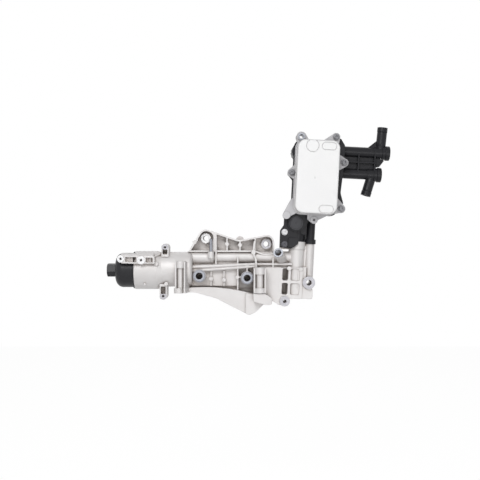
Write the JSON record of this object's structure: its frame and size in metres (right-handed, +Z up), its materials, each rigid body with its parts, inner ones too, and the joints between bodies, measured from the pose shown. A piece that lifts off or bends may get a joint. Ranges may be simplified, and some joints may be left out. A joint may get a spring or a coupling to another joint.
{
  "type": "oil filter housing",
  "caption": "Cast engine oil filter housing with a screw cap and cartridge, a plate oil cooler and a plastic coolant manifold with hose spigots.",
  "frame": {"origin": "on the flat face towards the engine, at the middle of the datum pad behind the upper bracket", "axes": "+Y is the normal of the engine face and points at the engine; +X runs along the filter barrel from the screw cap to the hose spigots; +Z is up, towards the cooler"},
  "size_m": [0.5677, 0.122, 0.3749],
  "materials": {
    "casting": "fine sand-like die cast surface with machined spot faces",
    "cap_plastic": "moulded glass-filled plastic, satin",
    "moulded_plastic": "moulded glass-filled plastic, satin",
    "plug_plastic": "moulded plastic, slightly lighter",
    "carrier_metal": "fine cast aluminium",
    "cooler_metal": "matt brazed aluminium",
    "rubber": "smooth moulded rubber",
    "filter_paper": "pleated filter paper",
    "filter_plastic": "moulded plastic",
    "steel": "zinc plated steel",
    "brass": "turned brass"
  },
  "bodies": {
    "housing": {"filter_housing": "casting", "centre_tube": "filter_plastic", "bypass_spring": "steel", "spring_retainer": "filter_plastic", "coolant_manifold": "moulded_plastic", "pipe_plug_upper": "moulded_plastic", "pipe_plug_lower": "moulded_plastic", "access_plug": "plug_plastic", "port_seals": "rubber", "tower_seals": "rubber", "cooler_carrier": "carrier_metal", "oil_cooler": "cooler_metal", "carrier_screws": "steel", "bracket_screws": "steel", "screw_inserts": "brass", "bracket_sleeves": "steel", "ear_sleeve": "steel", "bushing_left": "steel", "bushing_right": "steel", "locating_pin": "steel", "port_insert": "steel", "engine_gasket": "rubber"},
    "filter_insert": {"filter_media": "filter_paper", "element_core": "filter_plastic", "element_end_outer": "filter_plastic", "element_end_inner": "filter_plastic", "element_base_seal": "rubber"},
    "screw_cap": {"filter_cap": "cap_plastic", "cap_seal": "rubber"},
    "valve": {"bypass_valve": "filter_plastic"}
  },
  "joints": [
    {"name": "insert_slide", "type": "slide", "parent": "housing", "child": "filter_insert", "axis": [-1, 0, 0], "range_m": [0, 0.0161]},
    {"name": "cap_turn", "type": "hinge", "parent": "filter_insert", "child": "screw_cap", "pos_m": [-0.23, -0.046, -0.0605], "axis": [-1, 0, 0], "range_deg": [0, 1440]},
    {"name": "bypass_opening", "type": "slide", "parent": "housing", "child": "valve", "axis": [1, 0, 0], "range_m": [0, 0.005], "stiffness_N_per_m": 1000, "springref_m": -0.004, "deforming": ["bypass_spring"]}
  ],
  "couplings": [
    {"joint": "insert_slide", "follows": "cap_turn", "m_per_rad": 0.00063662}
  ]
}
